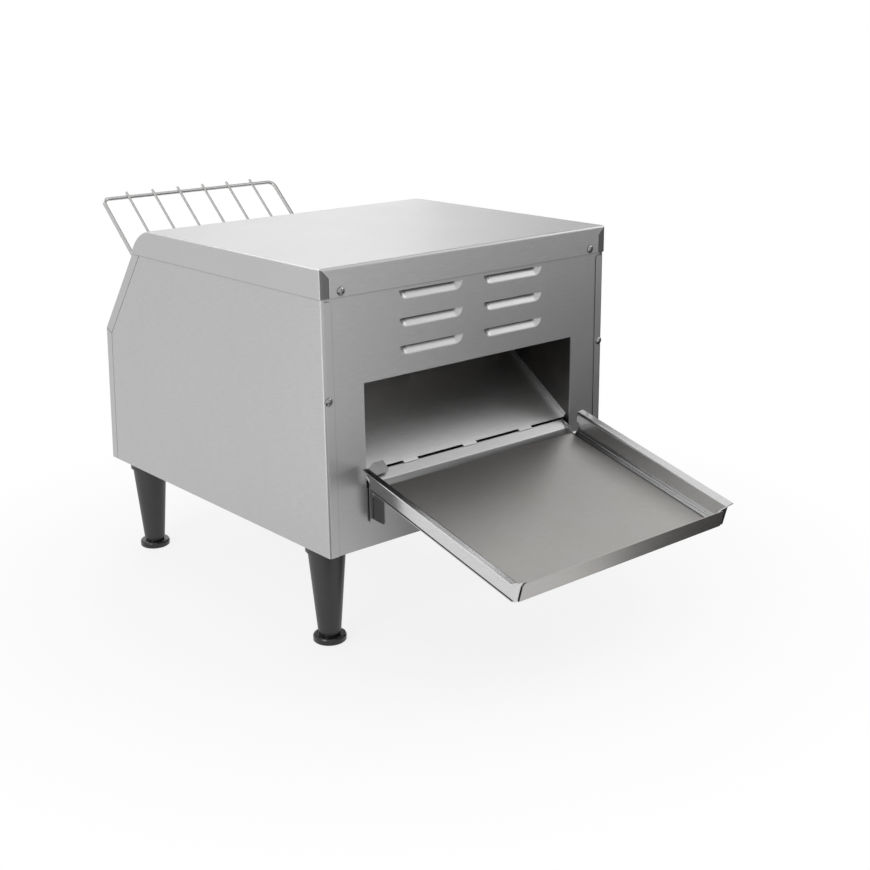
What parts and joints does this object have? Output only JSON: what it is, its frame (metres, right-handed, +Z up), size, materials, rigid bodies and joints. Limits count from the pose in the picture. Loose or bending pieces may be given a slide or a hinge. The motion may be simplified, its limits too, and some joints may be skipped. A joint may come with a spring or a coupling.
{
  "type": "conveyor toaster",
  "caption": "Countertop conveyor toaster: wire loading rack, wire belt between quartz tubes, chute and sloping hook-on collecting tray, stainless casing on black screw feet.",
  "frame": {"origin": "centre of the bounding box at the level the feet stand on", "axes": "+Z up; the discharge opening and collecting tray face -Y, the loading rack and controls face +Y; +X is to the right when looking along +Y"},
  "size_m": [0.368, 0.7377, 0.3924],
  "materials": {
    "cover_steel": "fine brushed stainless sheet",
    "panel_steel": "fine brushed stainless sheet",
    "inner_steel": "mill-finish stainless, slightly heat tinted",
    "reflector": "bright rolled sheet",
    "quartz": "clear quartz",
    "coil": "oxidised heating wire",
    "ceramic": "unglazed ceramic",
    "bronze": "sintered bronze",
    "motor_paint": "satin dark grey",
    "black_plastic": "satin black moulding",
    "foot_plastic": "gloss black moulding",
    "white_plastic": "white moulding",
    "board": "green circuit board",
    "lamp_lens": "green lamp lens",
    "turned_steel": "turned bar",
    "chain_steel": "oiled steel",
    "wire_steel": "polished stainless wire",
    "screw_steel": "plated screw"
  },
  "bodies": {
    "casing": {"top_cover": "cover_steel", "left_side_panel": "panel_steel", "right_side_panel": "panel_steel", "discharge_panel": "panel_steel", "feed_panel": "panel_steel", "control_panel": "panel_steel", "base_plate": "panel_steel", "left_inner_wall": "inner_steel", "right_inner_wall": "inner_steel", "discharge_chute": "inner_steel", "discharge_lip": "panel_steel", "feed_guide": "inner_steel", "upper_reflector": "reflector", "lower_reflector": "reflector", "upper_quartz_tubes": "quartz", "lower_quartz_tubes": "quartz", "heating_coils": "coil", "tube_end_caps": "ceramic", "shaft_bushes": "bronze", "gear_motor": "motor_paint", "fan_frame": "black_plastic", "terminal_block": "white_plastic", "cable_gland": "black_plastic", "speed_regulator": "board", "selector_switch": "white_plastic", "indicator_lamps": "lamp_lens", "crumb_tray_runners": "inner_steel", "cover_screws": "screw_steel", "front_left_leg": "black_plastic", "front_right_leg": "black_plastic", "rear_left_leg": "black_plastic", "rear_right_leg": "black_plastic", "leg_bolts": "screw_steel", "wire_belt": "wire_steel", "drive_chain": "chain_steel"},
    "drive_roll": {"drive_shaft": "turned_steel", "drive_sprockets": "turned_steel", "drive_chain_sprocket": "chain_steel"},
    "idler_roll": {"idler_shaft": "turned_steel", "idler_sprockets": "turned_steel"},
    "motor_output": {"motor_output_shaft": "turned_steel", "motor_chain_sprocket": "chain_steel"},
    "fan": {"fan_rotor": "black_plastic"},
    "speed_dial": {"speed_knob": "black_plastic"},
    "selector_dial": {"selector_knob": "black_plastic"},
    "tray": {"collecting_tray": "panel_steel", "tray_side_rails": "panel_steel", "tray_hook_plates": "panel_steel"},
    "crumb_drawer": {"crumb_tray": "panel_steel"},
    "rack": {"loading_rack": "wire_steel"},
    "front_left_screw_foot": {"front_left_foot": "foot_plastic"},
    "front_right_screw_foot": {"front_right_foot": "foot_plastic"},
    "rear_left_screw_foot": {"rear_left_foot": "foot_plastic"},
    "rear_right_screw_foot": {"rear_right_foot": "foot_plastic"}
  },
  "joints": [
    {"name": "drive_turn", "type": "hinge", "parent": "casing", "child": "drive_roll", "pos_m": [0, -0.06014, 0.261], "axis": [1, 0, 0], "continuous": true, "deforming": ["wire_belt", "drive_chain"]},
    {"name": "idler_turn", "type": "hinge", "parent": "casing", "child": "idler_roll", "pos_m": [0, 0.22486, 0.261], "axis": [1, 0, 0], "continuous": true},
    {"name": "motor_turn", "type": "hinge", "parent": "casing", "child": "motor_output", "pos_m": [0, -0.00934, 0.17301], "axis": [1, 0, 0], "continuous": true},
    {"name": "fan_turn", "type": "hinge", "parent": "casing", "child": "fan", "pos_m": [-0.06925, 0.12986, 0.115], "axis": [0, 0, 1], "continuous": true},
    {"name": "speed_knob_turn", "type": "hinge", "parent": "casing", "child": "speed_dial", "pos_m": [0.084, 0.26689, 0.15925], "axis": [0, -0.9975, -0.0703], "range_deg": [0, 270]},
    {"name": "selector_knob_turn", "type": "hinge", "parent": "casing", "child": "selector_dial", "pos_m": [-0.084, 0.26689, 0.15925], "axis": [0, -0.9975, -0.0703], "range_deg": [0, 135]},
    {"name": "tray_lift_off", "type": "slide", "parent": "casing", "child": "tray", "axis": [0, -0.5, 0.866], "range_m": [0, 0.06]},
    {"name": "crumb_tray_slide", "type": "slide", "parent": "casing", "child": "crumb_drawer", "axis": [0, 1, 0], "range_m": [0, 0.28]},
    {"name": "rack_lift_off", "type": "slide", "parent": "casing", "child": "rack", "axis": [0, 0, 1], "range_m": [0, 0.05]},
    {"name": "front_left_foot_screw_out", "type": "slide", "parent": "casing", "child": "front_left_screw_foot", "axis": [0, 0, -1], "range_m": [0, 0.012]},
    {"name": "front_right_foot_screw_out", "type": "slide", "parent": "casing", "child": "front_right_screw_foot", "axis": [0, 0, -1], "range_m": [0, 0.012]},
    {"name": "rear_left_foot_screw_out", "type": "slide", "parent": "casing", "child": "rear_left_screw_foot", "axis": [0, 0, -1], "range_m": [0, 0.012]},
    {"name": "rear_right_foot_screw_out", "type": "slide", "parent": "casing", "child": "rear_right_screw_foot", "axis": [0, 0, -1], "range_m": [0, 0.012]}
  ],
  "couplings": [
    {"joint": "idler_turn", "follows": "drive_turn", "ratio": 1},
    {"joint": "motor_turn", "follows": "drive_turn", "ratio": 1}
  ]
}
